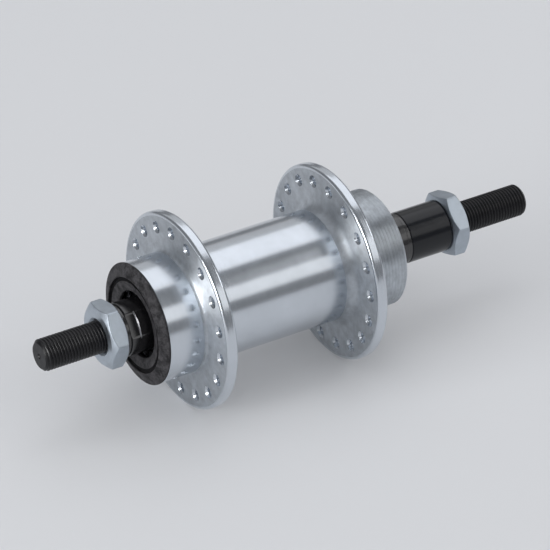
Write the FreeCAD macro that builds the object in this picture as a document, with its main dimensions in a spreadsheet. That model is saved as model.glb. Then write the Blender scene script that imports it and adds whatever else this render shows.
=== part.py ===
import FreeCAD, Part
import math
import os

import Sketcher
from FreeCAD import Placement, Rotation, Vector

# Bicycle rear hub for a screwed-on freewheel, in millimetres.
# The hub axis lies along Y and +Z is up. The origin is on the axis, midway between the
# outer faces of the two locknuts. The left side (plain boss) is +Y, the right side
# (freewheel thread) is -Y. Pieces of one side are drawn pointing outwards along +Y, and
# those of the right side are then turned half a turn about Z.

DIMENSIONS = [
    # axle and what is clamped on it
    ("over_locknuts", 120.0),
    ("axle_dia", 9.5),
    ("axle_length", 161.6),
    ("axle_left_out", 19.0),
    ("axle_chamfer", 0.9),
    ("axle_root_width", 0.8),
    ("axle_root_depth", 0.4),
    ("axle_root_out", 0.3),
    ("thread_gap", 0.05),
    ("locknut_flats", 17.7),
    ("locknut_thickness", 5.6),
    ("locknut_face_dia", 16.6),
    ("locknut_bevel_angle", 18.0),
    ("locknut_sink", 0.6),
    ("locknut_left_turn", 53.9),
    ("locknut_right_turn", 17.1),
    ("washer_dia", 15.2),
    ("washer_thickness", 1.2),
    ("spacer_dia", 15.4),
    ("spacer_gap", 0.2),
    ("edge_break", 0.25),
    # cones, cups and balls
    ("cone_dia", 16.0),
    ("cone_flats", 14.0),
    ("cone_flats_width", 2.7),
    ("cone_left_turn", 144.0),
    ("cone_right_turn", 126.0),
    ("cone_race_dia", 17.4),
    ("cone_collar", 1.2),
    ("cone_nose", 1.8),
    ("ball_dia", 6.35),
    ("balls_per_side", 9),
    ("ball_gap", 0.45),
    ("race_gap", 0.05),
    ("ball_depth", 6.4),
    ("cup_wall", 1.3),
    ("cup_floor", 1.5),
    ("cup_hole_dia", 16.4),
    ("cup_recess", 2.8),
    # shell
    ("flange_dia", 59.0),
    ("flange_thickness", 3.4),
    ("flange_round", 1.0),
    ("left_flange_centre", 32.8),
    ("right_flange_centre", 16.9),
    ("barrel_dia", 33.5),
    ("barrel_fillet", 2.5),
    ("shell_bore_dia", 23.0),
    ("left_boss_dia", 36.0),
    ("left_boss_length", 12.1),
    ("left_boss_fillet", 0.8),
    ("boss_chamfer", 0.4),
    ("freewheel_thread_dia", 34.9),
    ("freewheel_thread_length", 12.0),
    ("freewheel_thread_chamfer", 0.8),
    ("relief_dia", 33.2),
    ("relief_length", 1.6),
    ("seat_ring_dia", 38.0),
    ("seat_ring_height", 0.8),
    ("seat_face_bore", 35.2),
    ("spoke_circle_dia", 50.0),
    ("spokes_per_flange", 18),
    ("spoke_hole_dia", 2.6),
    ("spoke_hole_turn", 5.6),
    # soft dust cap on the left boss
    ("cap_rim_dia", 36.4),
    ("cap_rim_height", 0.6),
    ("cap_crown_dia", 29.2),
    ("cap_crown_height", 2.0),
    ("cap_groove_dia", 27.4),
    ("cap_groove_width", 1.2),
    ("cap_groove_depth", 1.1),
    ("cap_hole_dia", 20.0),
    ("cap_hole_height", 0.85),
    ("cap_skirt_wall", 1.2),
    ("cap_seat_gap", 0.3),
    # pressed dust cap in the thread boss
    ("steel_cap_sheet", 0.8),
    ("steel_cap_hole_dia", 18.0),
]

doc = FreeCAD.newDocument("rear_hub")
sheet = doc.addObject("Spreadsheet::Sheet", "sizes")
for row, (alias, value) in enumerate(DIMENSIONS, start=1):
    sheet.set(f"A{row}", alias)
    sheet.set(f"B{row}", str(value))
    sheet.setAlias(f"B{row}", alias)
doc.recompute()

# Lengths that follow from the sheet, as expressions that the features are bound to.
AXLE_RADIUS = "sizes.axle_dia / 2"
THREAD_BORE = "(sizes.axle_dia / 2 + sizes.thread_gap)"
LEFT_FACE = "(sizes.left_flange_centre + sizes.flange_thickness / 2)"
LEFT_INNER = "(sizes.left_flange_centre - sizes.flange_thickness / 2)"
LEFT_END = f"({LEFT_FACE} + sizes.left_boss_length)"
RIGHT_FACE = "(sizes.right_flange_centre + sizes.flange_thickness / 2)"
RIGHT_INNER = "(sizes.right_flange_centre - sizes.flange_thickness / 2)"
SEAT_RING = f"({RIGHT_FACE} + sizes.seat_ring_height)"
THREAD_START = f"({SEAT_RING} + sizes.relief_length)"
RIGHT_END = f"({THREAD_START} + sizes.freewheel_thread_length)"
PITCH = "((sizes.ball_dia + sizes.ball_gap) / (2 * sin(180 / sizes.balls_per_side)))"
RACE = "(sizes.ball_dia / 2 + sizes.race_gap)"
SEAT = f"({PITCH} + {RACE} + sizes.cup_wall)"
CUP_DEPTH = f"({RACE} + sizes.cup_floor)"
LEFT_BALLS = f"({LEFT_END} - sizes.ball_depth)"
RIGHT_BALLS = f"({RIGHT_END} - sizes.ball_depth)"
RACE_TOP = f"sqrt({RACE}^2 - ({PITCH} - sizes.cone_race_dia / 2)^2)"
SKIRT = "(sizes.cup_recess - sizes.cap_seat_gap)"
NUT_SEAT = "(sizes.over_locknuts / 2 - sizes.locknut_thickness)"
LEFT_WASHER = f"({NUT_SEAT} - sizes.washer_thickness)"
CONE_REACH = f"({LEFT_WASHER} - {LEFT_BALLS})"
RIGHT_WASHER = f"({RIGHT_BALLS} + {CONE_REACH})"
SPACER_SEAT = f"({RIGHT_WASHER} + sizes.washer_thickness)"
SPACER_LENGTH = f"({NUT_SEAT} - {SPACER_SEAT})"
NUT_CORNER = "(sizes.locknut_flats / sqrt(3))"


def number(expression):
    """The present value of an expression over the sheet."""
    return float(sheet.evalExpression(str(expression)))


def origin_part(body, role):
    """An axis or plane of the body's own origin."""
    return next(item for item in body.Origin.OriginFeatures if item.Role == role)


def new_sketch(body, name, role):
    """An empty sketch on one of the body's own origin planes."""
    sketch = body.newObject("Sketcher::SketchObject", name)
    sketch.AttachmentSupport = [(origin_part(body, role), "")]
    sketch.MapMode = "FlatFace"
    return sketch


def pin_point(sketch, edge, end, spot):
    """Bind one end of an edge to a pair of expressions."""
    for kind, expression in zip(("DistanceX", "DistanceY"), spot):
        constraint = Sketcher.Constraint(kind, -1, 1, edge, end, number(expression))
        index = sketch.addConstraint(constraint)
        sketch.setExpression(f"Constraints[{index}]", str(expression))


def draw_outline(sketch, corners, bows=None):
    """A closed outline through corners given as pairs of expressions. An edge listed in
    bows, by the number of the corner it leaves, is an arc: centre x, centre y, radius."""
    bows = bows or {}
    spots = [Vector(number(x), number(y), 0) for x, y in corners]
    ends = []
    for index, start in enumerate(spots):
        finish = spots[(index + 1) % len(spots)]
        if index not in bows:
            sketch.addGeometry(Part.LineSegment(start, finish), False)
            ends.append((1, 2))
            continue
        centre = Vector(number(bows[index][0]), number(bows[index][1]), 0)
        circle = Part.Circle(centre, Vector(0, 0, 1), number(bows[index][2]))
        first = math.atan2(start.y - centre.y, start.x - centre.x)
        last = math.atan2(finish.y - centre.y, finish.x - centre.x)
        anticlockwise = (start - centre).cross(finish - centre).z > 0
        sweep = (first, last) if anticlockwise else (last, first)
        sketch.addGeometry(Part.ArcOfCircle(circle, *sweep), False)
        ends.append((1, 2) if anticlockwise else (2, 1))
    for index, (start, finish) in enumerate(ends):
        follower = (index + 1) % len(ends)
        joint = Sketcher.Constraint("Coincident", index, finish, follower, ends[follower][0])
        sketch.addConstraint(joint)
        pin_point(sketch, index, start, corners[index])
        if index in bows:
            radius = bows[index][2]
            bend = sketch.addConstraint(Sketcher.Constraint("Radius", index, number(radius)))
            sketch.setExpression(f"Constraints[{bend}]", radius)


def turned(label, corners, bows=None):
    """A body turned about Y from corners given as (radius, place along the axis)."""
    body = doc.addObject("PartDesign::Body", label)
    body.Label = label
    sketch = new_sketch(body, f"{label}_profile", "XY_Plane")
    draw_outline(sketch, corners, bows)
    turn = body.newObject("PartDesign::Revolution", f"{label}_turn")
    turn.Profile = (sketch, [""])
    turn.ReferenceAxis = (sketch, ["V_Axis"])
    turn.Angle = 360
    doc.recompute()
    return body


def rims(body, spots):
    """Names of the circular edges of a turned body at (radius, place) pairs."""
    names = []
    for radius, place in spots:
        wanted = Vector(number(radius), number(place), 0)
        for index, edge in enumerate(body.Shape.Edges, start=1):
            if not isinstance(edge.Curve, Part.Circle):
                continue
            found = Vector(edge.Curve.Radius, edge.Curve.Center.y, 0)
            if found.isEqual(wanted, 1e-5):
                names.append(f"Edge{index}")
    return names


def dress(body, kind, name, spots, size):
    """A fillet or chamfer on the rims at the given spots."""
    base = body.Tip
    feature = body.newObject(f"PartDesign::{kind}", name)
    feature.Base = (base, rims(body, spots))
    feature.setExpression("Radius" if kind == "Fillet" else "Size", size)
    body.Tip = feature
    doc.recompute()
    return feature


def place(body, along, right=False):
    """Set a piece along the hub axis. A piece of the right side points to -Y."""
    if right:
        body.Placement = Placement(Vector(0, 0, 0), Rotation(Vector(0, 0, 1), 180))
    body.setExpression("Placement.Base.y", f"-({along})" if right else along)
    return body


def turned_spot(x, z, turn):
    """A point of the XZ plane turned about the axis, as a pair of expressions."""
    return (f"({x}) * cos({turn}) - ({z}) * sin({turn})",
            f"({x}) * sin({turn}) + ({z}) * cos({turn})")


def shave(body, name, corners, clear, start=None):
    """Cut away what lies between an outline about the axis and a circle of the clear
    radius, all along the piece or only from a place along the axis outwards."""
    sketch = new_sketch(body, f"{name}_profile", "XZ_Plane")
    if start:
        sketch.setExpression("AttachmentOffset.Base.z", f"-({start})")
    draw_outline(sketch, corners)
    circle = Part.Circle(Vector(0, 0, 0), Vector(0, 0, 1), number(clear))
    waste = sketch.addGeometry(circle, False)
    sketch.addConstraint(Sketcher.Constraint("Coincident", waste, 3, -1, 1))
    reach = sketch.addConstraint(Sketcher.Constraint("Radius", waste, number(clear)))
    sketch.setExpression(f"Constraints[{reach}]", clear)
    cut = body.newObject("PartDesign::Pocket", name)
    cut.Profile = (sketch, [""])
    if not start:
        cut.SideType = "Symmetric"
    cut.Type = "ThroughAll"
    body.Tip = cut
    doc.recompute()


def tube(label, outer, bore, length):
    """A plain ring with its four rims broken."""
    body = turned(label, [(bore, 0), (outer, 0), (outer, length), (bore, length)])
    spots = [(outer, 0), (outer, length)]
    dress(body, "Chamfer", f"{label}_edges", spots, "sizes.edge_break")
    return body


def hub_shell():
    """The one-piece shell: two spoke flanges, barrel, plain boss and thread boss."""
    flange = "sizes.flange_dia / 2"
    barrel = "sizes.barrel_dia / 2"
    boss = "sizes.left_boss_dia / 2"
    thread = "sizes.freewheel_thread_dia / 2"
    relief = "sizes.relief_dia / 2"
    ring = "sizes.seat_ring_dia / 2"
    seat = "sizes.seat_face_bore / 2"
    bore = "sizes.shell_bore_dia / 2"
    left_floor = f"({LEFT_BALLS} - {CUP_DEPTH})"
    right_floor = f"-({RIGHT_BALLS} - {CUP_DEPTH})"
    body = turned("hub_shell", [
        (SEAT, LEFT_END),
        (boss, LEFT_END),
        (boss, LEFT_FACE),
        (flange, LEFT_FACE),
        (flange, LEFT_INNER),
        (barrel, LEFT_INNER),
        (barrel, f"-{RIGHT_INNER}"),
        (flange, f"-{RIGHT_INNER}"),
        (flange, f"-{RIGHT_FACE}"),
        (ring, f"-{RIGHT_FACE}"),
        (ring, f"-{SEAT_RING}"),
        (seat, f"-{SEAT_RING}"),
        (relief, f"-({SEAT_RING} + {seat} - {relief})"),
        (relief, f"-{THREAD_START}"),
        (thread, f"-{THREAD_START}"),
        (thread, f"-{RIGHT_END}"),
        (SEAT, f"-{RIGHT_END}"),
        (SEAT, right_floor),
        (bore, right_floor),
        (bore, left_floor),
        (SEAT, left_floor),
    ])
    dress(body, "Fillet", "barrel_fillets",
          [(barrel, LEFT_INNER), (barrel, f"-{RIGHT_INNER}")], "sizes.barrel_fillet")
    dress(body, "Fillet", "boss_fillet", [(boss, LEFT_FACE)], "sizes.left_boss_fillet")
    dress(body, "Fillet", "flange_rims",
          [(flange, LEFT_FACE), (flange, LEFT_INNER),
           (flange, f"-{RIGHT_INNER}"), (flange, f"-{RIGHT_FACE}")], "sizes.flange_round")
    dress(body, "Chamfer", "boss_edge", [(boss, LEFT_END)], "sizes.boss_chamfer")
    dress(body, "Chamfer", "thread_lead", [(thread, f"-{RIGHT_END}")],
          "sizes.freewheel_thread_chamfer")
    half_pitch = "180 / sizes.spokes_per_flange"
    spoke_holes(body, "left_holes", LEFT_INNER, LEFT_FACE, "sizes.spoke_hole_turn")
    spoke_holes(body, "right_holes", f"-{RIGHT_FACE}", f"-{RIGHT_INNER}",
                f"sizes.spoke_hole_turn + {half_pitch}")
    return body


def spoke_holes(body, name, low, high, turn):
    """A ring of plain spoke holes through one flange."""
    centre = "sizes.spoke_circle_dia / 2"
    edge = f"{centre} + sizes.spoke_hole_dia / 2"
    sketch = new_sketch(body, f"{name}_profile", "XY_Plane")
    draw_outline(sketch, [(centre, low), (edge, low), (edge, high), (centre, high)])
    sketch.AttachmentOffset = Placement(Vector(0, 0, 0), Rotation(Vector(0, -1, 0), 1))
    sketch.setExpression("AttachmentOffset.Rotation.Angle", turn)
    axis_top = Vector(number(centre), number(high), 0)
    axis_foot = Vector(number(centre), number(low), 0)
    middle = sketch.addGeometry(Part.LineSegment(axis_foot, axis_top), True)
    pin_point(sketch, middle, 1, (centre, low))
    pin_point(sketch, middle, 2, (centre, high))
    doc.recompute()
    hole = body.newObject("PartDesign::Groove", f"{name}_first")
    hole.Profile = (sketch, [""])
    hole.ReferenceAxis = (sketch, ["Axis0"])
    hole.Angle = 360
    doc.recompute()
    ring = body.newObject("PartDesign::PolarPattern", name)
    ring.Originals = [hole]
    ring.Axis = (origin_part(body, "Y_Axis"), [""])
    ring.Angle = 360
    ring.setExpression("Occurrences", "sizes.spokes_per_flange")
    body.Tip = ring
    doc.recompute()


def bearing_cup(side):
    """A pressed cup: its race is a quarter arc about the ball centres."""
    mouth = "(sizes.ball_depth - sizes.cup_recess)"
    wall = f"({PITCH} + {RACE})"
    hole = "sizes.cup_hole_dia / 2"
    return turned(f"bearing_cup_{side}", [
        (wall, mouth),
        (wall, 0),
        (PITCH, f"-{RACE}"),
        (hole, f"-{RACE}"),
        (hole, f"-{CUP_DEPTH}"),
        (SEAT, f"-{CUP_DEPTH}"),
        (SEAT, mouth),
    ], {1: (PITCH, 0, RACE)})


def cone(side, turn):
    """The threaded cone: a race arc under the balls, a collar, and a barrel that ends in
    two flats for a thin spanner. Both cones are the same part."""
    top = "sizes.cone_race_dia / 2"
    barrel = "sizes.cone_dia / 2"
    inner = f"({PITCH} - {RACE})"
    collar = f"({RACE_TOP} + sizes.cone_collar)"
    body = turned(f"cone_{side}", [
        (THREAD_BORE, "-sizes.cone_nose"),
        (inner, "-sizes.cone_nose"),
        (inner, 0),
        (top, RACE_TOP),
        (top, collar),
        (barrel, collar),
        (barrel, CONE_REACH),
        (THREAD_BORE, CONE_REACH),
    ], {2: (PITCH, 0, RACE)})
    dress(body, "Chamfer", f"cone_{side}_edges", [(top, collar), (barrel, CONE_REACH)],
          "sizes.edge_break")
    flat, end = "sizes.cone_flats / 2", "sizes.cone_dia * 0.75"
    slot = [(flat, end), (f"-{flat}", end), (f"-{flat}", f"-{end}"), (flat, f"-{end}")]
    sides = [turned_spot(x, z, turn) for x, z in slot]
    shave(body, f"cone_{side}_flats", sides, "sizes.cone_dia",
          f"{CONE_REACH} - sizes.cone_flats_width")
    return body


def ball(name, angle, along):
    """One bearing ball on the pitch circle."""
    sphere = doc.addObject("Part::Sphere", name)
    sphere.Label = name
    sphere.setExpression("Radius", "sizes.ball_dia / 2")
    sphere.setExpression("Placement.Base.x", f"{PITCH} * cos({angle})")
    sphere.setExpression("Placement.Base.y", along)
    sphere.setExpression("Placement.Base.z", f"{PITCH} * sin({angle})")
    return sphere


def ball_ring(side, along):
    """The loose balls of one bearing, evenly spaced."""
    count = int(number("sizes.balls_per_side"))
    return [ball(f"ball_{side}_{index + 1}", f"{index} * 360 / sizes.balls_per_side", along)
            for index in range(count)]


def dust_cap_left():
    """A soft cap: its skirt plugs the boss, its brim covers the end and slopes in to a
    grooved face with a hole round the cone."""
    rim = "sizes.cap_rim_dia / 2"
    crown = "sizes.cap_crown_dia / 2"
    hole = "sizes.cap_hole_dia / 2"
    lip = f"({SEAT} - sizes.cap_skirt_wall)"
    body = turned("dust_cap_left", [
        (SEAT, f"-{SKIRT}"),
        (SEAT, 0),
        (rim, 0),
        (rim, "sizes.cap_rim_height"),
        (crown, "sizes.cap_crown_height"),
        (hole, "sizes.cap_hole_height"),
        (hole, 0),
        (lip, 0),
        (lip, f"-{SKIRT}"),
    ])
    groove = new_sketch(body, "cap_groove_profile", "XY_Plane")
    outer = "(sizes.cap_groove_dia + sizes.cap_groove_width) / 2"
    inner = "(sizes.cap_groove_dia - sizes.cap_groove_width) / 2"
    floor = "(sizes.cap_crown_height - sizes.cap_groove_depth)"
    top = "(sizes.cap_crown_height + sizes.cap_groove_depth)"
    draw_outline(groove, [(inner, floor), (outer, floor), (outer, top), (inner, top)])
    cut = body.newObject("PartDesign::Groove", "cap_groove")
    cut.Profile = (groove, [""])
    cut.ReferenceAxis = (groove, ["V_Axis"])
    cut.Angle = 360
    body.Tip = cut
    doc.recompute()
    return body


def dust_cap_right():
    """A thin pressed ring inside the mouth of the thread boss."""
    hole = "sizes.steel_cap_hole_dia / 2"
    lip = f"({SEAT} - sizes.steel_cap_sheet)"
    return turned("dust_cap_right", [
        (SEAT, f"-{SKIRT}"),
        (SEAT, 0),
        (hole, 0),
        (hole, "-sizes.steel_cap_sheet"),
        (lip, "-sizes.steel_cap_sheet"),
        (lip, f"-{SKIRT}"),
    ])


def locknut(side, turn):
    """A hexagon nut with both faces bevelled: a turned blank with its flats cut away."""
    blank = f"({NUT_CORNER} + sizes.edge_break)"
    face = "sizes.locknut_face_dia / 2"
    bevel = f"(({blank} - {face}) * tan(sizes.locknut_bevel_angle))"
    mouth = f"({THREAD_BORE} + sizes.locknut_sink)"
    body = turned(f"locknut_{side}", [
        (mouth, 0),
        (face, 0),
        (blank, bevel),
        (blank, f"sizes.locknut_thickness - {bevel}"),
        (face, "sizes.locknut_thickness"),
        (mouth, "sizes.locknut_thickness"),
        (THREAD_BORE, "sizes.locknut_thickness - sizes.locknut_sink"),
        (THREAD_BORE, "sizes.locknut_sink"),
    ])
    hexagon = [turned_spot(NUT_CORNER, 0, f"({60 * corner} + {turn})") for corner in range(6)]
    shave(body, f"locknut_{side}_flats", hexagon, "sizes.locknut_flats")
    return body


def axle():
    """The solid axle. Its fine thread is left plain here but for one root at each nut's
    outer face, where the free end begins."""
    half = "sizes.axle_length / 2"
    tip = f"({AXLE_RADIUS} - sizes.axle_chamfer)"
    root = f"({AXLE_RADIUS} - sizes.axle_root_depth)"
    left_free = f"({half} - sizes.axle_left_out + sizes.axle_root_out)"
    right_free = f"({left_free} - sizes.over_locknuts - 2 * sizes.axle_root_out)"
    left_root = f"({left_free} - sizes.axle_root_width)"
    right_root = f"({right_free} + sizes.axle_root_width)"
    return turned("axle", [
        (0, f"-{half}"),
        (tip, f"-{half}"),
        (AXLE_RADIUS, f"-({half} - sizes.axle_chamfer)"),
        (AXLE_RADIUS, right_free),
        (root, right_free),
        (root, right_root),
        (AXLE_RADIUS, right_root),
        (AXLE_RADIUS, left_root),
        (root, left_root),
        (root, left_free),
        (AXLE_RADIUS, left_free),
        (AXLE_RADIUS, f"{half} - sizes.axle_chamfer"),
        (tip, half),
        (0, half),
    ])


def main():
    washer = ("sizes.washer_dia / 2", THREAD_BORE, "sizes.washer_thickness")
    spacer = ("sizes.spacer_dia / 2", f"({AXLE_RADIUS} + sizes.spacer_gap)", SPACER_LENGTH)
    axle_middle = "sizes.over_locknuts / 2 + sizes.axle_left_out - sizes.axle_length / 2"
    pieces = [
        hub_shell(),
        place(bearing_cup("left"), LEFT_BALLS),
        place(bearing_cup("right"), RIGHT_BALLS, right=True),
        place(dust_cap_left(), LEFT_END),
        place(dust_cap_right(), RIGHT_END, right=True),
        place(axle(), axle_middle),
        place(cone("left", "sizes.cone_left_turn"), LEFT_BALLS),
        place(cone("right", "sizes.cone_right_turn"), RIGHT_BALLS, right=True),
        place(tube("washer_left", *washer), LEFT_WASHER),
        place(tube("washer_right", *washer), RIGHT_WASHER, right=True),
        place(tube("spacer_right", *spacer), SPACER_SEAT, right=True),
        place(locknut("left", "sizes.locknut_left_turn"), NUT_SEAT),
        place(locknut("right", "sizes.locknut_right_turn"), NUT_SEAT, right=True),
    ]
    pieces += ball_ring("left", LEFT_BALLS)
    pieces += ball_ring("right", f"-{RIGHT_BALLS}")
    doc.recompute()

    for item in doc.Objects:
        if "Invalid" in item.State or "Error" in item.State:
            raise RuntimeError(f"{item.Name} did not build: {item.State}")
    for piece in pieces:
        if piece.Shape.isNull() or not piece.Shape.isValid():
            raise RuntimeError(f"{piece.Label} has no valid shape")

    os.makedirs("parts", exist_ok=True)
    for piece in pieces:
        piece.Shape.exportStep(f"parts/{piece.Label}.step")
        print(piece.Label, len(piece.Shape.Solids), round(piece.Shape.Volume, 2))


main()
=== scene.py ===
# %% [markdown]
# # A bicycle rear hub, dressed in Blender
#
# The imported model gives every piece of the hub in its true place. This lesson puts finer
# surfaces over its turned pieces, such as real threads and drilled flanges, gives each
# piece its finish, and lights it as a product photograph is lit.
#
# The hub axis lies along Y. An angle round the axis is measured from +X towards +Z.
# Lengths are written in millimetres and become metres when a mesh is made.

# %% Load the model
import math

import bmesh
import bpy
import numpy as np
from mathutils import Matrix, Vector


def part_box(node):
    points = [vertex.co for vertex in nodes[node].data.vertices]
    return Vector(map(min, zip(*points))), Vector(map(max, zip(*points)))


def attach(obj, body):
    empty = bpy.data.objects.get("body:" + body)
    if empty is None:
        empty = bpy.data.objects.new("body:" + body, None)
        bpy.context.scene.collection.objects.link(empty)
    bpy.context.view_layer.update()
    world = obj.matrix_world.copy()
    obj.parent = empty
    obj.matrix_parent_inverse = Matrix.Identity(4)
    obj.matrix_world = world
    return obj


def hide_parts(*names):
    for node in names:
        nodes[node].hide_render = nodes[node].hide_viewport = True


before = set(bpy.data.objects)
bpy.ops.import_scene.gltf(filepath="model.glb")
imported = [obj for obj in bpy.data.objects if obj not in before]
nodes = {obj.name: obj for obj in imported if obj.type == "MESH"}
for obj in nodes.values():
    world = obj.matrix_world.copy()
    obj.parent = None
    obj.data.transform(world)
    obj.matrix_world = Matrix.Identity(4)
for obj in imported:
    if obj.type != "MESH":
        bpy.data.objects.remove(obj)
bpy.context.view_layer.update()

print(len(nodes), "nodes")

# %% [markdown]
# ## The camera
#
# The photograph looks down on the hub from its left end. A long lens from well over a
# metre away keeps the two flanges nearly the same size. The position and the aim were
# found by fitting the rims of both flanges, and the camera is rolled by half a degree.

# %% Camera
# Both places are in metres.
view_from = Vector((-1.0472, 0.6269, 0.7641))
view_at = Vector((-0.00007, 0.00155, 0.00138))
roll = math.radians(-0.56)

lens = bpy.data.cameras.new("lens")
lens.lens = 327.27
lens.sensor_width = 36
lens.clip_end = 30
camera = bpy.data.objects.new("camera", lens)
camera.location = view_from
camera.rotation_euler = (view_at - view_from).to_track_quat("-Z", "Y").to_euler()
camera.rotation_euler.rotate_axis("Z", roll)
bpy.context.scene.collection.objects.link(camera)
bpy.context.scene.camera = camera
print("camera to hub:", round((view_at - view_from).length, 3), "m")

# %% [markdown]
# ## Turned surfaces as grids
#
# Nearly every piece of a hub is made on a lathe. A turned surface is a profile, given as
# radius and place along the axis, carried round the axis. As a grid it has one row for
# each point of the profile and one column for each angle, and it is worked out as whole
# arrays. Blender's Screw modifier could do the same, but the grid also allows a radius
# that changes with the angle, which threads and hexagons need.
#
# A sharp profile corner would look like a knife edge. Real edges are broken, and catch a
# thin line of light, so each corner gets a small arc.

# %% Profile with rounded corners
def soft_profile(corners, steps=4):
    """Points of a profile whose corners (radius, place, rounding) become arcs.

    For a corner P with unit directions a and b to its neighbours and h half the angle
    between them, the arc touches the sides at a distance rounding / tan(h) from P. Its
    centre is P + (a + b) * rounding / sin(2h), and it bends by pi - 2h. A row just before
    and after each arc, at most 0.12 mm from it, keeps the flat parts flat.
    """
    places = np.array([corner[:2] for corner in corners], float)
    points = [places[0]]
    for before, here, after, corner in zip(places, places[1:], places[2:], corners[1:]):
        rounding = corner[2] if len(corner) > 2 else 0.0
        a = (before - here) / np.linalg.norm(before - here)
        b = (after - here) / np.linalg.norm(after - here)
        if rounding == 0:
            points.append(here)
            continue
        half = math.acos(np.clip(a @ b, -1, 1)) / 2
        reach, bend = rounding / math.tan(half), math.pi - 2 * half
        centre = here + (a + b) * rounding / math.sin(2 * half)
        first, last = here + a * reach - centre, here + b * reach - centre
        s = np.linspace(0, 1, steps + 1)[:, None]
        arc = (first * np.sin(bend * (1 - s)) + last * np.sin(bend * s)) / math.sin(bend)
        room = min(np.linalg.norm(before - here), np.linalg.norm(after - here)) - reach
        guard = min(0.12, 0.3 * reach, 0.6 * room)
        points.append(here + a * (reach + guard))
        points.extend(centre + arc)
        points.append(here + b * (reach + guard))
    points.append(places[-1])
    return np.array(points)


def wheel(count, first=0.0):
    """Angles of the columns: first + 2 pi i / count."""
    return math.radians(first) + np.arange(count) * 2 * math.pi / count


def round_points(radius, along, angles):
    """A grid of points (r cos a, y, r sin a)."""
    return np.stack([radius * np.cos(angles), along, radius * np.sin(angles)], axis=2)


def turned_grid(profile, angles):
    """A plain turned surface, with one row for each profile point."""
    radius, along = profile[:, :1], profile[:, 1:]
    along = np.broadcast_to(along, (len(profile), len(angles)))
    return round_points(radius, along, angles)


def turned(x, z, angle):
    """Points (x, z) turned by an angle round the Y axis, from +X towards +Z."""
    return x * np.cos(angle) - z * np.sin(angle), x * np.sin(angle) + z * np.cos(angle)


# %% Grids into one mesh
# Points nearer than this are merged, and shorter edges than this are dropped, in metres.
MERGE, NO_LENGTH = 2e-6, 1e-7


def grid_faces(rows, columns, closed=True):
    """Four corners for each cell of a grid. A closed grid joins its last column to the
    first."""
    across = columns if closed else columns - 1
    row, column = np.meshgrid(np.arange(rows - 1), np.arange(across), indexing="ij")
    beside = (column + 1) % columns
    corners = [row * columns + column, row * columns + beside,
               (row + 1) * columns + beside, (row + 1) * columns + column]
    return np.stack(corners, axis=2).reshape(-1, 4)


def mesh_from(name, pieces, sharp=35.0):
    """One object from (points, faces, material number) pieces, in millimetres.

    Points that meet are merged, faces with no area are dropped, and the normals are made
    to point outwards. Edges that turn by more than the sharp angle stay crisp.
    """
    points, faces, slots, start = [], [], [], 0
    for grid, cells, slot in pieces:
        flat = grid.reshape(-1, 3)
        points.append(flat)
        faces.append(cells + start)
        slots.append(np.full(len(cells), slot))
        start += len(flat)
    mesh = bpy.data.meshes.new(name)
    mesh.from_pydata(np.concatenate(points) / 1000, [], np.concatenate(faces).tolist())
    mesh.polygons.foreach_set("material_index", np.concatenate(slots))
    work = bmesh.new()
    work.from_mesh(mesh)
    bmesh.ops.remove_doubles(work, verts=work.verts, dist=MERGE)
    bmesh.ops.dissolve_degenerate(work, edges=work.edges, dist=NO_LENGTH)
    bmesh.ops.recalc_face_normals(work, faces=work.faces)
    open_edges = sum(1 for edge in work.edges if len(edge.link_faces) != 2)
    work.to_mesh(mesh)
    work.free()
    mesh.polygons.foreach_set("use_smooth", np.ones(len(mesh.polygons), bool))
    mesh.set_sharp_from_angle(angle=math.radians(sharp))
    mesh.calc_loop_triangles()
    piece = bpy.data.objects.new(name, mesh)
    bpy.context.scene.collection.objects.link(piece)
    print(name, len(mesh.loop_triangles), "triangles,", open_edges, "open edges")
    return piece


def lathe(name, corners, count, sharp=35.0, steps=4):
    """A closed turned piece from a loop of profile corners."""
    profile = soft_profile(list(corners) + [corners[0]], steps)
    grid = turned_grid(profile, wheel(count))
    return mesh_from(name, [(grid, grid_faces(len(profile), count), 0)], sharp)


def stand_in(piece, node, body, slot, *finishes):
    """The piece takes over from a node of the model and gets its materials."""
    for finish in finishes:
        piece.data.materials.append(finish)
    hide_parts(node)
    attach(piece, body)


# %% [markdown]
# ## Screw threads
#
# A thread is a groove that climbs by one pitch in each turn. On a plain lathe grid its
# crests would fall between the rows and look like stairs. Here the whole grid is sheared,
# so that each row climbs with the thread: four rows to a pitch then draw crest, flank and
# root exactly. After a full turn a row meets the row one pitch further on. Rows that
# would pass the ends are pressed flat onto them and merge there.

# %% Thread grid
PITCH_ROWS = 4


def threaded(start, end, radius, pitch, depth, count, lead, fade, roots=(2, 3)):
    """A right-hand screw surface from start to end along Y, as (points, faces).

    Row j lies at y = start + (j/4 - a/(2 pi)) * pitch for the angle a, clamped to the
    ends. The radius is the root on the rows of each four that are named in roots and the
    crest on the others, never more than a 45 degree cone from the ends that is lead
    deep. Over a length of fade the thread runs out to full radius. Both lead and fade
    are pairs, for the start and the end, and 0 leaves that end as it is.
    """
    turns = int(math.ceil((end - start) / pitch)) + 2
    rows = turns * PITCH_ROWS + 1
    angle = np.arange(count + 1) * 2 * math.pi / count
    row = np.arange(rows)[:, None]
    along = start + (row / PITCH_ROWS - angle / (2 * math.pi)) * pitch
    along = np.clip(along, start, end)
    from_ends = along - start, end - along
    deep = np.isin(row % PITCH_ROWS, roots) * np.ones_like(along)
    for length, inward in zip(fade, from_ends):
        if length:
            deep *= np.clip(inward / length, 0, 1)
    reach = radius - depth * deep
    for length, inward in zip(lead, from_ends):
        if length:
            reach = np.minimum(reach, radius - length + inward)
    return round_points(reach, along, angle), grid_faces(rows, count + 1, closed=False)


# %% [markdown]
# ## Finishes
#
# Each finish is a small tree of nodes. Colours that stay the same are set on the shader,
# and noise adds what a real surface has: faint tool lines, stains and uneven polish. All
# of it reads Object coordinates, which are metres here, so a pattern has its true size
# and stays on the piece when the wheel turns.

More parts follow.
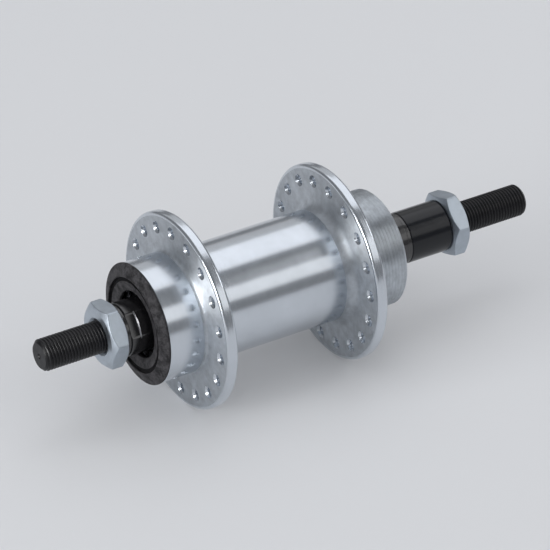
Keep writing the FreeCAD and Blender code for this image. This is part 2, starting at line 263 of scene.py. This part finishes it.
# %% Material helpers
def finish_tree(name, metallic=0.0):
    """A new material, with its node tree, shader and Object coordinates."""
    material = bpy.data.materials.new(name)
    material.use_nodes = True
    tree = material.node_tree
    shader = tree.nodes["Principled BSDF"]
    shader.inputs["Metallic"].default_value = metallic
    place = tree.nodes.new("ShaderNodeTexCoord").outputs["Object"]
    return material, tree, shader, place


def add_node(tree, kind, inputs=None, **settings):
    """A node with its settings, and inputs given as numbers or as sockets to link."""
    node = tree.nodes.new(kind)
    for key, value in settings.items():
        setattr(node, key, value)
    for key, value in (inputs or {}).items():
        if isinstance(value, bpy.types.NodeSocket):
            tree.links.new(value, node.inputs[key])
        else:
            node.inputs[key].default_value = value
    return node


def noise(tree, place, scale, detail=2.0, roughness=0.5):
    """Noise with about that many lumps to a metre."""
    inputs = {"Vector": place, "Scale": scale, "Detail": detail, "Roughness": roughness}
    return add_node(tree, "ShaderNodeTexNoise", inputs).outputs["Fac"]


def spread(tree, value, low, high, start=0.3, end=0.7):
    """A value from start to end stretched to low to high, and held there."""
    inputs = {"Value": value, "From Min": start, "From Max": end,
              "To Min": low, "To Max": high}
    return add_node(tree, "ShaderNodeMapRange", inputs).outputs["Result"]


def tint(tree, value, dark, light):
    """A colour between two by a value from 0 to 1.

    Several sockets of this node share a name: 6 and 7 take its colours, 2 gives the mix.
    """
    mix = add_node(tree, "ShaderNodeMix", data_type="RGBA")
    tree.links.new(value, mix.inputs["Factor"])
    mix.inputs[6].default_value = (*dark, 1)
    mix.inputs[7].default_value = (*light, 1)
    return mix.outputs[2]


def shaded(tree, shader, value, colour, contrast):
    """The shader's colour, darker by the contrast where the value is low."""
    dark = tuple((1 - contrast) * channel for channel in colour)
    tree.links.new(tint(tree, spread(tree, value, 0.0, 1.0), dark, colour),
                   shader.inputs["Base Color"])


def bump(tree, shader, height, depth, strength=1.0):
    """Surface relief from a height, with a full depth in metres."""
    inputs = {"Height": height, "Distance": depth, "Strength": strength}
    relief = add_node(tree, "ShaderNodeBump", inputs)
    tree.links.new(relief.outputs["Normal"], shader.inputs["Normal"])


def from_axis(tree, place):
    """The distance of each point from the Y axis: the length of (x, 0, z)."""
    flat = add_node(tree, "ShaderNodeVectorMath", {0: place, 1: (1.0, 0.0, 1.0)},
                    operation="MULTIPLY")
    return add_node(tree, "ShaderNodeVectorMath", {0: flat.outputs["Vector"]},
                    operation="LENGTH").outputs["Value"]


def reckon(tree, operation, first, second):
    """The result of an operation such as MULTIPLY or MAXIMUM on two values."""
    return add_node(tree, "ShaderNodeMath", {0: first, 1: second},
                    operation=operation).outputs["Value"]


def lathe_lines(tree, place, spacing):
    """Fine rings round the axis, as noise of the radius and the place along the axis.

    The noise reads the point (radius, y, 0), so it is the same all the way round.
    """
    radius = from_axis(tree, place)
    along = add_node(tree, "ShaderNodeSeparateXYZ", {"Vector": place}).outputs["Y"]
    ring = add_node(tree, "ShaderNodeCombineXYZ", {"X": radius, "Y": along})
    return noise(tree, ring.outputs["Vector"], 1 / spacing, 3.0)


def round_axis(tree, place):
    """The direction round the axis at each point, as a tangent for brushed metal.

    It is the cross product of the Y axis and the point, turned with the piece.
    """
    cross = add_node(tree, "ShaderNodeVectorMath", {0: (0.0, 1.0, 0.0), 1: place},
                     operation="CROSS_PRODUCT")
    unit = add_node(tree, "ShaderNodeVectorMath", {0: cross.outputs["Vector"]},
                    operation="NORMALIZE")
    tangent = add_node(tree, "ShaderNodeVectorTransform",
                       {"Vector": unit.outputs["Vector"]}, vector_type="VECTOR",
                       convert_from="OBJECT", convert_to="WORLD")
    return tangent.outputs["Vector"]


# %% [markdown]
# ### Alloy
#
# The shell is forged aluminium, turned and then polished on its round parts. The faces of
# the flanges keep the fine rings that a facing tool leaves. Rings scatter light across
# themselves, so a face shows one bright ray from its middle, as a record does. That needs
# an anisotropic shader whose tangent runs round the axis.

# %% Alloy finishes
def alloy(name, colour, smooth, rough, stretch, ring_depth, clouds, contrast):
    """Polished or faced aluminium. The highlight is drawn out across the rings by the
    stretch. The metal has so many clouds to a metre, darker by the contrast, and its
    rings are a third of a millimetre apart."""
    material, tree, shader, place = finish_tree(name, metallic=1.0)
    shaded(tree, shader, noise(tree, place, clouds, 4.0, 0.6), colour, contrast)
    rings = lathe_lines(tree, place, 0.00035)
    tree.links.new(spread(tree, rings, smooth, rough), shader.inputs["Roughness"])
    shader.inputs["Anisotropic"].default_value = stretch
    shader.inputs["Anisotropic Rotation"].default_value = 0.25
    tree.links.new(round_axis(tree, place), shader.inputs["Tangent"])
    bump(tree, shader, rings, ring_depth)
    return material


polished_alloy = alloy("polished_alloy", (0.65, 0.69, 0.74), smooth=0.18, rough=0.24,
                       stretch=0.2, ring_depth=5e-7, clouds=90.0, contrast=0.10)
faced_alloy = alloy("faced_alloy", (0.64, 0.68, 0.725), smooth=0.43, rough=0.51,
                    stretch=0.9, ring_depth=1e-6, clouds=420.0, contrast=0.26)

# %% [markdown]
# ### Steel, black parts and rubber
#
# The axle, cones, washers and spacer are blackened steel. Where a crest of the thread has
# been touched, the black is thinner. The locknuts are zinc plated, which gives a pale
# bluish sheen. The dust cap is soft rubber: matt, with a dusty bloom, and its groove is
# painted dark as shade. A finish goes from smooth to rough in patches, and depths of grain
# are in metres.

# %% Steel and rubber finishes
# Radii that two pieces share with their finishes, in millimetres: the crests of the
# axle's thread, and the two sides of the groove in the rubber cap, which its finish paints
# dark as shade.
AXLE, GROOVE_IN, GROOVE_OUT = 4.75, 13.1, 14.3


def blackened(name, colour, worn, smooth, rough, grain, gloss, crest=None):
    """Black steel, worn paler in patches. Where a crest radius is given, only the
    outermost 0.3 mm is worn."""
    material, tree, shader, place = finish_tree(name)
    shader.inputs["Specular IOR Level"].default_value = gloss
    mottle = noise(tree, place, 700.0, 4.0, 0.6)
    wear = spread(tree, mottle, 0.0, 0.5)
    if crest:
        edge = spread(tree, from_axis(tree, place), 0.0, 1.0, crest - 0.0003, crest)
        wear = reckon(tree, "MULTIPLY", wear, edge)
    tree.links.new(tint(tree, wear, colour, worn), shader.inputs["Base Color"])
    tree.links.new(spread(tree, mottle, smooth, rough), shader.inputs["Roughness"])
    bump(tree, shader, mottle, grain)
    return material


def plated(name, colour, smooth, rough, grain):
    """Zinc plating: a metal with soft clouds in its colour and a fine grain."""
    material, tree, shader, place = finish_tree(name, metallic=1.0)
    cloud = noise(tree, place, 320.0, 3.0)
    shaded(tree, shader, cloud, colour, 0.18)
    tree.links.new(spread(tree, cloud, smooth, rough), shader.inputs["Roughness"])
    bump(tree, shader, noise(tree, place, 4000.0), grain)
    return material


def soft_rubber(name, colour, dusty, groove):
    """Matt rubber: a fine pebbled grain and a dusty bloom in patches. Between the two
    radii of the groove the bloom is left out, and the rubber is painted dark there:
    painted shade in the recess. The groove is also rougher."""
    material, tree, shader, place = finish_tree(name)
    radius, soft = from_axis(tree, place), 0.0001
    inner = spread(tree, radius, 1.0, 0.0, groove[0] - soft, groove[0] + soft)
    outer = spread(tree, radius, 0.0, 1.0, groove[1] - soft, groove[1] + soft)
    # This mask is 1 outside the groove and 0 inside it, where it holds the colour at its
    # darkest: painted shade in the recess.
    outside_painted_groove = reckon(tree, "MAXIMUM", inner, outer)
    bloom = spread(tree, noise(tree, place, 420.0, 6.0, 0.8), 0.0, 1.0, 0.38, 0.62)
    tree.links.new(tint(tree, reckon(tree, "MULTIPLY", bloom, outside_painted_groove), colour, dusty),
                   shader.inputs["Base Color"])
    tree.links.new(spread(tree, outside_painted_groove, 0.95, 0.68, 0.0, 1.0), shader.inputs["Roughness"])
    shader.inputs["Specular IOR Level"].default_value = 0.25
    bump(tree, shader, noise(tree, place, 5000.0), 2e-5, 0.6)
    return material


def ground_steel(name, colour, smooth, rough):
    """Bright ground steel with faint rings half a millimetre apart."""
    material, tree, shader, place = finish_tree(name, metallic=1.0)
    rings = lathe_lines(tree, place, 0.0005)
    shaded(tree, shader, rings, colour, 0.12)
    tree.links.new(spread(tree, rings, smooth, rough), shader.inputs["Roughness"])
    return material


axle_black = blackened("axle_black", (0.003, 0.003, 0.004), (0.016, 0.015, 0.019),
                       smooth=0.34, rough=0.48, grain=4e-6, gloss=0.34,
                       crest=AXLE / 1000)
cone_black = blackened("cone_black", (0.006, 0.006, 0.007), (0.016, 0.015, 0.016),
                       smooth=0.14, rough=0.20, grain=1e-6, gloss=1.0)
spacer_black = blackened("spacer_black", (0.003, 0.004, 0.006), (0.007, 0.008, 0.012),
                         smooth=0.16, rough=0.23, grain=1e-6, gloss=0.38)
nut_zinc = plated("nut_zinc", (0.50, 0.555, 0.615), smooth=0.34, rough=0.46, grain=4e-6)
cap_rubber = soft_rubber("cap_rubber", (0.003, 0.003, 0.004), (0.052, 0.050, 0.054),
                         groove=(GROOVE_IN / 1000, GROOVE_OUT / 1000))
race_steel = ground_steel("race_steel", (0.52, 0.52, 0.54), 0.18, 0.30)
ball_steel = ground_steel("ball_steel", (0.72, 0.73, 0.75), 0.04, 0.08)
pressed_steel = ground_steel("pressed_steel", (0.60, 0.61, 0.63), 0.25, 0.38)
rubbed_steel = ground_steel("rubbed_steel", (0.40, 0.40, 0.42), 0.34, 0.46)

# %% [markdown]
# ## The shell
#
# The shell is one piece: left boss, left flange, barrel, right flange and thread boss.
# Its round parts are lathe strips. Each flange has a ring of spoke holes, so a flange
# face is cut into eighteen wedges with one hole in the middle of each. Drilling with a
# Boolean would leave long thin triangles that spoil a polished face. Here the hole's
# circle is blended outwards into the outline of its wedge, ring by ring, and the wedges
# meet the lathe strips point for point.

# %% Sizes of the shell
# Radii: the flanges and their holes, the barrel and the boss, the bore and the seats of
# the cups, and the thread with the ring behind it.
FLANGE, RIM_ROUND, HOLE_RING, HOLE, MOUTH = 29.5, 1.0, 25.0, 1.3, 1.9
BARREL, BOSS, FILLET, BOSS_FILLET = 16.75, 18.0, 2.5, 0.8
BORE, SEAT, EDGE = 11.5, 14.475, 0.2
THREAD, THREAD_LEAD, RELIEF, RING = 17.45, 0.8, 16.6, 19.0
# Places along the axis.
LEFT_END, LEFT_FLOOR, LEFT_FACE, LEFT_INNER = 46.6, 35.475, 34.5, 31.1
RIGHT_INNER, RIGHT_FACE, RIGHT_FLOOR, RIGHT_END = -15.2, -18.6, -21.875, -33.0
THREAD_START, RING_END = -21.0, -19.4
# The angle of each flange's first hole in degrees, counts, and the numbers of the
# shell's two materials.
LEFT_TURN, RIGHT_TURN = 5.6, 15.6
HOLES, COLUMNS = 18, 180
POLISHED, FACED = 0, 1
# Strips meet this far past a fillet, so that its shading stays on it.
MEET = 0.3
shell_low, shell_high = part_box("hub_shell")
print("shell from", round(shell_low.y * 1000, 1), "to", round(shell_high.y * 1000, 1))


# %% Flange faces with holes
# How far each ring of a wedge lies from the hole (0) to the outline (1). The first and
# last steps are small, so that the shading of the edges doesn't reach the flat face.
WEDGE_STEPS = np.array([0, 0.03, 0.2, 0.45, 0.72, 0.96, 1.0])[:, None, None]
HOLE_MIDDLE = np.array([HOLE_RING, 0.0])


def wedge_outline(inner, outer):
    """The outline of one wedge about the hole at angle 0, as radius and angle arrays.

    It runs out along one side, round the outer arc, in along the other side and back
    along the inner arc. The arcs use the lathe columns, ten to a wedge.
    """
    half, per_side = math.pi / HOLES, 6
    out = np.linspace(inner, outer, per_side + 1)[:-1]
    arc = np.linspace(-half, half, COLUMNS // HOLES + 1)[:-1]
    radius = np.concatenate([out, np.full(len(arc), outer), out[::-1] + (out[1] - out[0]),
                             np.full(len(arc), inner)])
    angle = np.concatenate([np.full(per_side, -half), arc, np.full(per_side, half),
                            -arc])
    return radius, angle


def hole_ways(inner):
    """The outline's points (x, z) in the plane of the face, and the unit directions from
    the hole's middle to them."""
    radius, angle = wedge_outline(inner, FLANGE - RIM_ROUND)
    outline = np.stack([radius * np.cos(angle), radius * np.sin(angle)], axis=1)
    away = outline - HOLE_MIDDLE
    return outline, away / np.linalg.norm(away, axis=1)[:, None]


def turned_copies(flat, along, first):
    """Copies of a wedge's points (x, z) at y, turned to every hole of the flange."""
    x, z = turned(flat[..., 0], flat[..., 1], wheel(HOLES, first)[:, None, None])
    return np.stack([x, np.broadcast_to(along, x.shape), z], axis=-1)


def ring_faces(copies):
    """Faces of every copy of a closed grid."""
    count, rows, columns = copies.shape[:3]
    cells = grid_faces(rows, columns)
    steps = np.arange(count)[:, None, None] * rows * columns
    return (cells[None] + steps).reshape(-1, 4)


def flange_face(inner, along, first):
    """One drilled face: each ring is hole * (1 - s) + outline * s for its step s."""
    outline, away = hole_ways(inner)
    hole = HOLE_MIDDLE + MOUTH * away
    flat = hole * (1 - WEDGE_STEPS) + outline * WEDGE_STEPS
    copies = turned_copies(flat, along, first)
    return copies, ring_faces(copies), FACED


def hole_walls(low, high, inner_low, inner_high, first):
    """The holes' walls: a 45 degree countersink at each mouth and plain between. The
    points go from the directions of one face to those of the other."""
    places = (MOUTH - HOLE) * np.array([0, 0.1, 0.9, 1.0])
    sizes = MOUTH - places
    size = np.concatenate([sizes, sizes[::-1]])
    along = np.concatenate([low + places, high - places[::-1]])
    start, end = hole_ways(inner_low)[1], hole_ways(inner_high)[1]
    share = ((along - low) / (high - low))[:, None, None]
    way = start * (1 - share) + end * share
    way = way / np.linalg.norm(way, axis=2, keepdims=True)
    flat = HOLE_MIDDLE + size[:, None, None] * way
    copies = turned_copies(flat, along[:, None], first)
    return copies, ring_faces(copies), POLISHED


# %% Round parts of the shell
def shell_strip(corners, steps=5, finish=POLISHED):
    """A strip of the shell on the shared columns. Its ends stay open, to be merged with
    the neighbouring strips."""
    profile = soft_profile(corners, steps)
    grid = turned_grid(profile, wheel(COLUMNS, LEFT_TURN))
    return grid, grid_faces(len(profile), COLUMNS), finish


def even(start, end, count):
    """Corners evenly spaced between two, with no rounding, for long plain stretches."""
    steps = np.linspace(0, 1, count + 2)[1:-1, None]
    return [tuple(row) for row in np.array(start) * (1 - steps) + np.array(end) * steps]


def rim_strip(inner, outer):
    """The rounded rim of a flange between its two faces."""
    edge, rounding = FLANGE - RIM_ROUND, 0.95
    return shell_strip([(edge, inner), (FLANGE, inner, rounding),
                        (FLANGE, outer, rounding), (edge, outer)])


def fillet(radius, face, size, way):
    """The arc from a flange's face down to a round part, which the facing tool leaves."""
    return shell_strip([(radius + size, face), (radius, face, size - 0.05),
                        (radius, face + way * (size + MEET))], 12, FACED)


barrel = shell_strip([
    (BARREL, LEFT_INNER - FILLET - MEET), *even((BARREL, 26.0), (BARREL, -10.0), 6),
    (BARREL, RIGHT_INNER + FILLET + MEET)])
boss_and_bore = shell_strip([
    (BOSS, LEFT_FACE + BOSS_FILLET + MEET), (BOSS, LEFT_END, 0.35),
    (SEAT, LEFT_END, EDGE), (SEAT, LEFT_FLOOR, EDGE), (BORE, LEFT_FLOOR, EDGE),
    (BORE, RIGHT_FLOOR, EDGE), (SEAT, RIGHT_FLOOR, EDGE), (SEAT, RIGHT_END, EDGE),
    (THREAD - THREAD_LEAD, RIGHT_END)], 6)
seat_ring = shell_strip([
    (THREAD, THREAD_START), (RELIEF, THREAD_START, 0.1), (RELIEF, RING_END - 1.0, 0.1),
    (RELIEF + 1.0, RING_END), (RING, RING_END, EDGE), (RING, RIGHT_FACE)], 3)

# %% Thread of the freewheel boss
# The freewheel screws on here: 24 turns to the inch. The photograph shows only faint
# lines, so the thread is drawn far shallower than a real one, with wide crests and narrow
# roots. The grid runs from the outer end towards the flange, on the shell's columns.
FREEWHEEL_PITCH, FREEWHEEL_DEPTH, RUN_OUT = 25.4 / 24, 0.12, 0.9
thread_points, thread_faces = threaded(
    RIGHT_END, THREAD_START, THREAD, FREEWHEEL_PITCH, FREEWHEEL_DEPTH, COLUMNS,
    lead=(THREAD_LEAD, 0), fade=(0, RUN_OUT), roots=(3,))
thread_points[..., 0], thread_points[..., 2] = turned(
    thread_points[..., 0], thread_points[..., 2], math.radians(LEFT_TURN))

# %% Shell assembled
shell = mesh_from("shell_surface", [
    barrel, fillet(BARREL, LEFT_INNER, FILLET, -1),
    fillet(BARREL, RIGHT_INNER, FILLET, 1), fillet(BOSS, LEFT_FACE, BOSS_FILLET, 1),
    boss_and_bore, seat_ring, (thread_points, thread_faces, FACED),
    rim_strip(LEFT_INNER, LEFT_FACE), rim_strip(RIGHT_FACE, RIGHT_INNER),
    flange_face(BOSS + BOSS_FILLET, LEFT_FACE, LEFT_TURN),
    flange_face(BARREL + FILLET, LEFT_INNER, LEFT_TURN),
    flange_face(BARREL + FILLET, RIGHT_INNER, RIGHT_TURN),
    flange_face(RING, RIGHT_FACE, RIGHT_TURN),
    hole_walls(LEFT_INNER, LEFT_FACE, BARREL + FILLET, BOSS + BOSS_FILLET, LEFT_TURN),
    hole_walls(RIGHT_FACE, RIGHT_INNER, RING, BARREL + FILLET, RIGHT_TURN),
])
stand_in(shell, "hub_shell", "shell", "shell_alloy", polished_alloy, faced_alloy)

# %% [markdown]
# ## The axle
#
# A solid 3/8 inch axle with 26 turns to the inch along both ends, drawn about half as
# deep as a real thread. The middle, inside the hub, is plain. The ends are chamfered so
# that a nut starts easily.

# %% Axle
CHAMFER, CENTRE_MARK, AXLE_COLUMNS = 0.9, 0.9, 72
AXLE_PITCH, AXLE_DEPTH, AXLE_RUN_OUT = 25.4 / 26, 0.32, 1.0
PLAIN_START, PLAIN_END = -22.0, 36.0
axle_low, axle_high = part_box("axle")
LEFT_TIP, RIGHT_TIP = axle_high.y * 1000, axle_low.y * 1000


def axle_screw(start, end, lead, fade):
    """The thread between two places, as a piece of the axle."""
    screw = threaded(start, end, AXLE, AXLE_PITCH, AXLE_DEPTH, AXLE_COLUMNS, lead, fade)
    return (*screw, 0)


def axle_strip(corners):
    """A plain turned piece of the axle."""
    grid = turned_grid(np.array(corners), wheel(AXLE_COLUMNS))
    return grid, grid_faces(len(corners), AXLE_COLUMNS), 0


def axle_end(place, inward):
    """A flat end with a shallow centre mark, from the chamfer in to the middle."""
    tip = AXLE - CHAMFER
    return axle_strip([(tip, place), (tip - 0.15, place), (CENTRE_MARK + 0.2, place),
                       (CENTRE_MARK, place), (0.0, place + inward * CENTRE_MARK)])


axle = mesh_from("threaded_axle", [
    axle_screw(PLAIN_END, LEFT_TIP, (0, CHAMFER), (AXLE_RUN_OUT, 0)),
    axle_screw(RIGHT_TIP, PLAIN_START, (CHAMFER, 0), (0, AXLE_RUN_OUT)),
    axle_strip([(AXLE, PLAIN_START), (AXLE, PLAIN_END)]),
    axle_end(LEFT_TIP, -1), axle_end(RIGHT_TIP, 1)], sharp=28)
stand_in(axle, "axle", "axle_set", "axle_black", axle_black)

# %% [markdown]
# ## The locknuts
#
# A hexagon nut starts as a bar with six flats. A lathe then bevels both faces, and where
# that shallow cone meets a flat it leaves a curved line. On the grid, each column works
# out its own distance to the flat and the height at which the bevel ends there, so the
# curve comes out by itself.

# %% Locknuts
NUT_FLATS, NUT_BORE, NUT_SINK, NUT_COLUMNS = 17.7, 4.8, 0.9, 192
NUT_FACE, NUT_EDGE, NUT_SLOPE = 8.1, 0.1, math.tan(math.radians(30))


def hexagon(angles, turn, crispness=70):
    """Distance from the axis to a hexagon with slightly rounded corners.

    It is half the width over flats, divided by the p-norm of the cosines of the angles
    to the three pairs of flats. At a high power p only the nearest flat counts.
    """
    middles = np.radians(turn + 30 + np.array([0, 60, 120]))[:, None]
    share = np.abs(np.cos(angles[None] - middles)) ** crispness
    return NUT_FLATS / 2 / share.sum(axis=0) ** (1 / crispness)


def locknut(name, inner, outer, turn):
    """A nut between two places along Y, with bevels and a countersunk bore. Its second
    face mirrors the first."""
    angles = wheel(NUT_COLUMNS)
    flat = hexagon(angles, turn)
    drop = (flat - NUT_FACE) * NUT_SLOPE
    rows = [(NUT_BORE, NUT_SINK), (NUT_BORE + NUT_SINK, 0), (NUT_FACE - 0.15, 0),
            (NUT_FACE, 0.02), (flat - NUT_EDGE, drop - NUT_EDGE * NUT_SLOPE),
            (flat, drop + NUT_EDGE)]
    rows += [(radius, abs(outer - inner) - height) for radius, height in rows[::-1]]
    rows.append(rows[0])
    radius, height = (np.array([np.broadcast_to(value, NUT_COLUMNS) for value in values])
                      for values in zip(*rows))
    along = inner + math.copysign(1.0, outer - inner) * height
    grid = round_points(radius, along, angles)
    return mesh_from(name, [(grid, grid_faces(len(rows), NUT_COLUMNS), 0)], sharp=22)


for side, turn in (("left", 53.9), ("right", 180 - 17.1)):
    low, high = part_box(f"locknut_{side}")
    ends = sorted((low.y * 1000, high.y * 1000), key=abs)
    nut = locknut(f"nut_{side}", *ends, turn)
    stand_in(nut, f"locknut_{side}", "axle_set", "nut_zinc", nut_zinc)

# %% [markdown]
# ## The dust cap, cones, washers and spacer
#
# These are plain turned pieces, and their edges do the work. The rubber cap has a skirt
# that sits in the shell, a rim, a crown with a groove, and a lip round its hole. The
# cones are polished, and their outer ends have two flats for a thin spanner. The thin
# dark lines between cone, washer and spacer come from their broken edges.

# %% Dust cap
SKIRT, SKIRT_END, RIM, RIM_TOP = 13.275, LEFT_END - 2.5, 18.2, LEFT_END + 0.6
GROOVE_FLOOR, CAP_HOLE = 47.5, 10.0
cap = lathe("soft_cap", [
    (SKIRT, SKIRT_END), (SEAT, SKIRT_END, EDGE), (SEAT, LEFT_END),
    (RIM, LEFT_END, EDGE), (RIM, RIM_TOP, 0.35), (14.6, 48.6, 0.3),
    (GROOVE_OUT, 48.52, 0.12), (GROOVE_OUT, GROOVE_FLOOR, 0.25),
    (GROOVE_IN, GROOVE_FLOOR, 0.25), (GROOVE_IN, 48.22, 0.15),
    (CAP_HOLE, 47.45, 0.3), (CAP_HOLE, LEFT_END, EDGE), (SKIRT, LEFT_END, EDGE)],
    COLUMNS, sharp=50, steps=5)
stand_in(cap, "dust_cap_left", "shell", "cap_rubber", cap_rubber)


# %% Cones, washers and spacer
def ring_piece(name, node, finish, slot, bore, outer, rounding):
    """A plain ring as long as its node, with broken edges."""
    low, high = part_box(node)
    y0, y1 = low.y * 1000, high.y * 1000
    piece = lathe(name, [(bore, (y0 + y1) / 2), (bore, y0, 0.1), (outer, y0, rounding),
                         (outer, y1, rounding), (bore, y1, 0.1)], 120)
    stand_in(piece, node, "axle_set", slot, finish)


def cone_piece(name, node, way, turn):
    """The cone, drawn outwards from the balls: nose, race arc, collar and barrel.

    The outer end has two flats for a thin spanner. There the radius is the smaller of
    the barrel's and flat / |cos(a - turn)|. A column stands where each flat ends. The
    step that a flat leaves has its edge worn to a bright bevel by the spanner: one more
    row, whose radius is the larger of the barrel's less the wear and the flat's.
    """
    bore, pitch, race, collar, barrel, flat, wear = 4.8, 9.9414, 3.225, 8.7, 8.0, 7.0, 0.3
    ball_depth, collar_width, flats_width = 1.8, 1.2, 2.7
    low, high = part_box(node)
    nose, outer = (place.y * 1000 for place in ((low, high) if way > 0 else (high, low)))
    balls, shoulder = nose + way * ball_depth, outer - way * flats_width
    sweep = np.linspace(-math.pi / 2, math.asin((collar - pitch) / race), 9)
    arc = [(pitch + race * math.sin(t), balls + way * race * math.cos(t)) for t in sweep]
    step = arc[-1][1] + way * collar_width
    round_part = soft_profile([(bore, nose), (arc[0][0], nose, 0.2), *arc,
                               (collar, step, 0.25), (barrel, step),
                               (barrel, shoulder - way * wear), (barrel, shoulder)])
    flat_part = soft_profile([(barrel, shoulder), (barrel, outer, 0.3), (bore, outer),
                              (bore, nose)])
    ends = math.radians(turn) + math.acos(flat / barrel) * np.array([-1, 1])
    ends = np.concatenate([ends, ends + math.pi]) % (2 * math.pi)
    angles = np.sort(np.concatenate([wheel(144), ends]))
    limit = flat / np.maximum(abs(np.cos(angles - math.radians(turn))), 0.1)
    profile = np.concatenate([round_part, flat_part])
    grid = turned_grid(profile, angles)
    bevel_row = len(round_part) - 1
    bevel = np.maximum(barrel - wear, np.minimum(barrel, limit))
    radius = np.vstack([bevel, np.minimum(flat_part[:, :1], limit)])
    grid[bevel_row:] = round_points(radius, grid[bevel_row:, :, 1], angles)
    cells = grid_faces(len(profile), len(angles))
    row, column = np.divmod(np.arange(len(cells)), len(angles))
    worn = (bevel < barrel)[column] & ((row == bevel_row - 1) | (row == bevel_row))
    piece = mesh_from(name, [(grid, cells, worn.astype(int))], sharp=30)
    stand_in(piece, node, "axle_set", "cone_black", cone_black, rubbed_steel)


cone_piece("turned_cone_left", "cone_left", 1, 144)
cone_piece("turned_cone_right", "cone_right", -1, 54)
for side in ("left", "right"):
    ring_piece(f"thin_washer_{side}", f"washer_{side}", cone_black, "cone_black",
               4.8, 7.6, 0.22)
ring_piece("spacer_tube", "spacer_right", spacer_black, "spacer_black", 4.95, 7.7, 0.3)

# %% [markdown]
# ## The bearings
#
# The balls, the pressed cups and the steel cap of the thread boss are already the right
# shape in the model. They only need their steel.

# %% Finishes for the model's own pieces
steel = {"ball": ball_steel, "bearing": race_steel, "dust": pressed_steel}
for name, node in nodes.items():
    kind = name.split("_")[0]
    if kind in steel:
        node.data.materials.clear()
        node.data.materials.append(steel[kind])

# %% [markdown]
# ## Floor and light
#
# Polished metal shows the room rather than its own colour, so lighting it means placing
# bright and dark shapes where the surface looks. A long softbox overhead draws the broad
# pale band on the barrel, and a dimmer wing beside it lights the far edge. A narrow strip
# draws the thin band under the broad one, and the dark between them gives the metal its
# depth. A small box past the right end lights the locknut and the thread boss. Another
# beyond the left end draws the ray on the flange faces. Two fill lights that mirrors
# don't show bring plain surfaces to the level at which a colour looks as it is written.
#
# The floor glows a little for the camera and for mirrors, so that it looks pale to both
# without more light on the hub.

# %% Floor and world
FLOOR, FLOOR_HALF, FLOOR_GLOW = -FLANGE / 1000, 6.0, 0.09
floor_finish, tree, shader, _ = finish_tree("pale_floor")
shader.inputs["Base Color"].default_value = (0.57, 0.58, 0.60, 1)
shader.inputs["Roughness"].default_value = 0.9
shader.inputs["Specular IOR Level"].default_value = 0.1
rays = tree.nodes.new("ShaderNodeLightPath").outputs
seen = reckon(tree, "MAXIMUM", rays["Is Camera Ray"], rays["Is Glossy Ray"])
tree.links.new(reckon(tree, "MULTIPLY", seen, FLOOR_GLOW),
               shader.inputs["Emission Strength"])
corners = FLOOR_HALF * np.array([(-1, -1), (1, -1), (1, 1), (-1, 1)])
floor_mesh = bpy.data.meshes.new("floor")
floor_mesh.from_pydata(np.column_stack([corners, np.full(4, FLOOR)]), [],
                       [(0, 1, 2, 3)])
floor_mesh.materials.append(floor_finish)
floor = bpy.data.objects.new("floor", floor_mesh)
bpy.context.scene.collection.objects.link(floor)

world = bpy.data.worlds.new("studio")
world.use_nodes = True
background = world.node_tree.nodes["Background"]
background.inputs["Color"].default_value = (0.235, 0.24, 0.25, 1)
background.inputs["Strength"].default_value = 1.0
bpy.context.scene.world = world


# %% Lights
def softbox(name, aim, middle, across, long, brightness, colour=(1, 1, 1), hidden=False):
    """A rectangular light at middle that faces aim, with its long side nearest to Y.

    Its power is its brightness times its area, times pi, so that the brightness is what
    a mirror would show.
    """
    lamp = bpy.data.lights.new(name, "AREA")
    lamp.shape = "RECTANGLE"
    lamp.size, lamp.size_y = across, long
    lamp.energy = brightness * across * long * math.pi
    lamp.color = colour
    light = bpy.data.objects.new(name, lamp)
    back = (Vector(middle) - Vector(aim)).normalized()
    side = Vector((0, 1, 0)).cross(back).normalized()
    upright = back.cross(side)
    turn = Matrix((side, upright, back)).transposed().to_4x4()
    light.matrix_world = Matrix.Translation(middle) @ turn
    light.visible_glossy = not hidden
    bpy.context.scene.collection.objects.link(light)


def overhead(name, angle, distance, along, across, long, brightness, colour=(1, 1, 1)):
    """A softbox at an angle round the Y axis that faces a place on the axis squarely."""
    turn = math.radians(angle)
    middle = (distance * math.cos(turn), along, distance * math.sin(turn))
    softbox(name, (0, along, 0), middle, across, long, brightness, colour)


HUB = (0, 0, 0)
overhead("overhead_box", 70, 0.9, -0.40, 0.86, 1.1, 1.0, (0.96, 0.97, 1.0))
overhead("overhead_wing", 31, 1.0, -0.40, 0.45, 1.1, 0.36)
overhead("strip", 145.5, 0.9, -0.40, 0.42, 1.1, 0.83)
overhead("strip_end", 122, 0.9, -0.78, 0.36, 0.44, 2.7)
softbox("end_box", HUB, (-0.05, 1.1, 0.22), 0.5, 0.45, 11.5)
softbox("fill_above", HUB, (-1.0, 0.6, 3.0), 4.0, 4.0, 0.78, hidden=True)
softbox("fill_front", HUB, (-2.2, 1.4, 1.2), 2.2, 1.6, 0.95, hidden=True)

# %% Finish
view = bpy.context.scene.view_settings
view.view_transform = "Standard"
